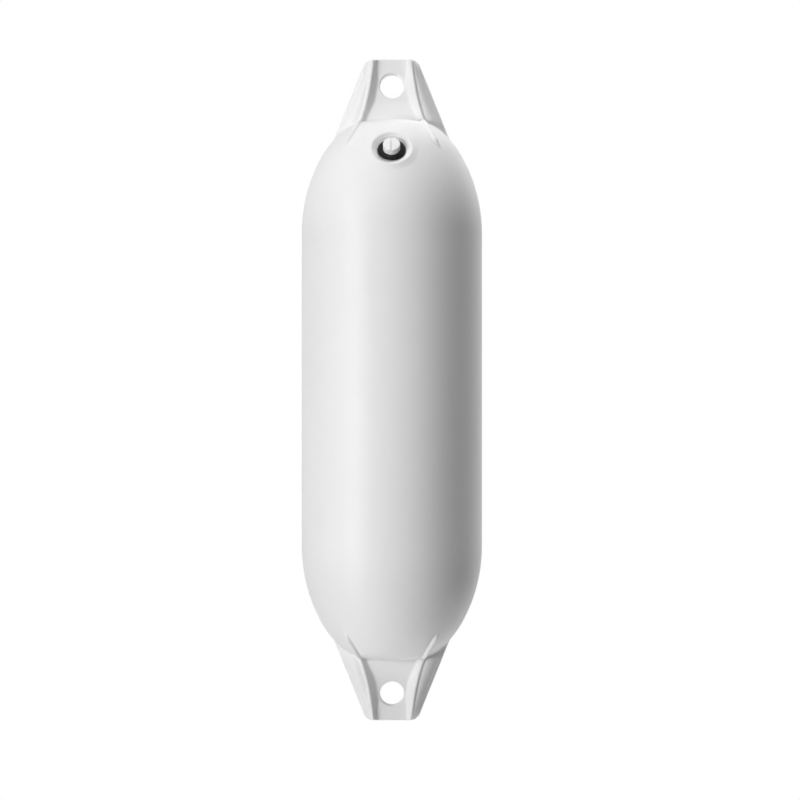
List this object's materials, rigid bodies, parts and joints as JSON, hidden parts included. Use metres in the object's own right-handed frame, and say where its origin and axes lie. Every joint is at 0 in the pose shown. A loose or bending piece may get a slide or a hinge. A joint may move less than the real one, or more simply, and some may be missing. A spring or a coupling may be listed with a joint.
{
  "type": "cylindrical boat fender",
  "caption": "White moulded vinyl boat fender, a long inflated cylinder with a flat ribbed rope eye at each end and an inflation valve on the upper shoulder.",
  "frame": {"origin": "centre of the fender, midway between the tips of its two rope eyes", "axes": "+Z along the fender's length towards the valve end, which hangs uppermost; the valve faces -Y; the rope holes run along Y"},
  "size_m": [0.15, 0.15, 0.55],
  "materials": {
    "white_vinyl": "satin gloss",
    "valve_plastic": "matte",
    "black_rubber": "matte",
    "plug_plastic": "satin"
  },
  "bodies": {
    "root": {"fender_body": "white_vinyl", "valve_insert": "valve_plastic", "valve_seal": "black_rubber", "valve_plug": "plug_plastic"}
  },
  "joints": []
}
